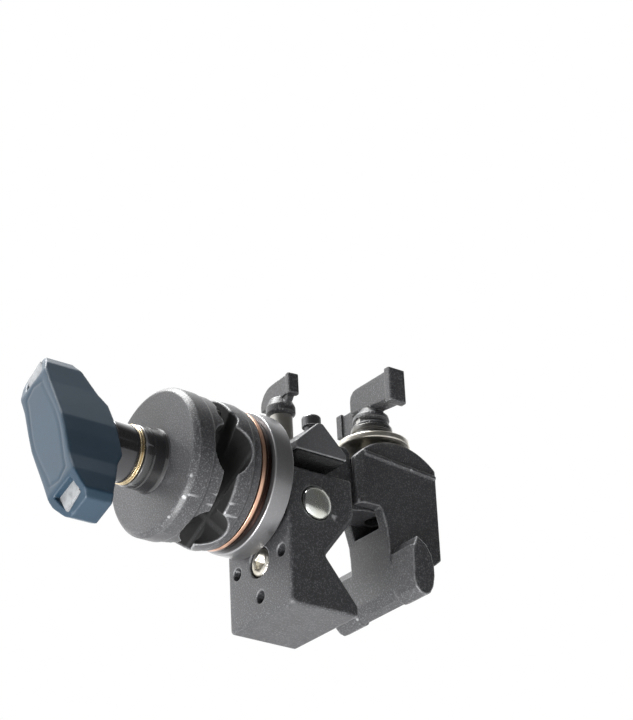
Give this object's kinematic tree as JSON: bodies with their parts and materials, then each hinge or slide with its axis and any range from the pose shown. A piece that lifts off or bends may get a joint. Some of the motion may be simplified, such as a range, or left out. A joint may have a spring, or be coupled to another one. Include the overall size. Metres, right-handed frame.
{
  "type": "super_clamp",
  "caption": "Black cast super clamp with a grip head: a T-handle screw closes a hinged jaw on a tube, and a large blue-grey T-knob closes two grooved jaw discs on rods.",
  "frame": {"origin": "centre line of the clamped tube at the middle of the jaw's width", "axes": "+X from the grip knob towards the moving jaw, +Y along the tube, +Z towards the T-handle"},
  "size_m": [0.1927, 0.0636, 0.1244],
  "materials": {
    "cast_black": "black speckled powder coat on cast aluminium, worn lighter on edges",
    "machined_black": "satin black over turned metal with fine turning lines",
    "gloss_black": "gloss black",
    "zinc_steel": "zinc plated steel, lightly worn",
    "plain_steel": "turned steel",
    "spring_steel": "bright spring wire",
    "polished_steel": "polished dome",
    "copper": "copper coloured friction ring, darkened at its edge",
    "gold_rings": "gold tinted turned rings",
    "dark_chrome": "black chrome",
    "pad_rubber": "black rubber with fine raised dots",
    "knob_blue": "satin blue-grey moulded plastic",
    "tip_brass": "plain turned brass",
    "insert_grey": "light grey insert"
  },
  "bodies": {
    "clamp": {"clamp_body": "cast_black", "jaw_cap_screw": "zinc_steel", "pivot_pin": "plain_steel", "pivot_clip": "zinc_steel", "barrel_nut": "plain_steel", "base_disc": "machined_black", "hex_stud": "plain_steel", "friction_ring": "copper", "button_plug": "plain_steel", "jaw_return_spring": "spring_steel", "button_spring": "spring_steel"},
    "jaw": {"moving_jaw": "cast_black"},
    "screw": {"thrust_washer": "zinc_steel"},
    "handle": {"clamp_screw": "zinc_steel", "handle_collar": "zinc_steel", "t_handle": "cast_black", "handle_pin": "plain_steel"},
    "tip": {"lock_tip": "tip_brass"},
    "lock": {"lock_screw": "plain_steel", "lock_knob": "cast_black", "lock_pin": "plain_steel"},
    "button": {"stud_button": "polished_steel", "button_clip": "zinc_steel"},
    "wedge": {"wedge_block": "cast_black", "wedge_pad": "pad_rubber", "wedge_pegs": "machined_black"},
    "head": {"inner_jaw": "cast_black", "guide_pins": "plain_steel", "jaw_spring": "spring_steel"},
    "outer": {"outer_jaw": "cast_black"},
    "knob": {"jaw_boss": "gloss_black", "sleeve_rings": "gold_rings", "knob_sleeve": "dark_chrome", "main_screw": "plain_steel", "grip_knob": "knob_blue", "knob_inserts": "insert_grey"}
  },
  "joints": [
    {"name": "screw_lift", "type": "slide", "parent": "clamp", "child": "screw", "axis": [0, 0, 1], "range_m": [-0.0039, 0.0057], "deforming": ["jaw_return_spring"]},
    {"name": "handle_turn", "type": "hinge", "parent": "screw", "child": "handle", "pos_m": [0.0227, 0, 0.084], "axis": [0, 0, 1], "range_deg": [-937, 1373]},
    {"name": "jaw_pivot", "type": "hinge", "parent": "clamp", "child": "jaw", "pos_m": [0.0115, 0, 0.042], "axis": [0, -1, 0], "range_deg": [-15.1, 22.1]},
    {"name": "lock_lift", "type": "slide", "parent": "clamp", "child": "tip", "axis": [0, 0, 1], "range_m": [0, 0.005]},
    {"name": "lock_turn", "type": "hinge", "parent": "tip", "child": "lock", "pos_m": [-0.0273, 0, 0.07], "axis": [0, 0, 1], "range_deg": [0, 1441]},
    {"name": "button_press", "type": "slide", "parent": "clamp", "child": "button", "axis": [0, 1, 0], "range_m": [0, 0.003], "stiffness_N_per_m": 800},
    {"name": "wedge_lift", "type": "slide", "parent": "clamp", "child": "wedge", "axis": [0, 0, 1], "range_m": [0, 0.005]},
    {"name": "head_rotate", "type": "hinge", "parent": "clamp", "child": "head", "pos_m": [-0.067, 0, 0.033], "axis": [1, 0, 0], "continuous": true},
    {"name": "jaw_travel", "type": "slide", "parent": "head", "child": "outer", "axis": [1, 0, 0], "range_m": [-0.00396, 0.00436]},
    {"name": "knob_turn", "type": "hinge", "parent": "outer", "child": "knob", "pos_m": [-0.12, 0, 0.033], "axis": [1, 0, 0], "range_deg": [-901, 991]}
  ],
  "couplings": [
    {"joint": "handle_turn", "follows": "screw_lift", "rad_per_m": 4188.8},
    {"joint": "jaw_pivot", "follows": "screw_lift", "rad_per_m": 67.114},
    {"joint": "lock_turn", "follows": "lock_lift", "rad_per_m": 5026.5},
    {"joint": "knob_turn", "follows": "jaw_travel", "rad_per_m": 3957.9}
  ]
}
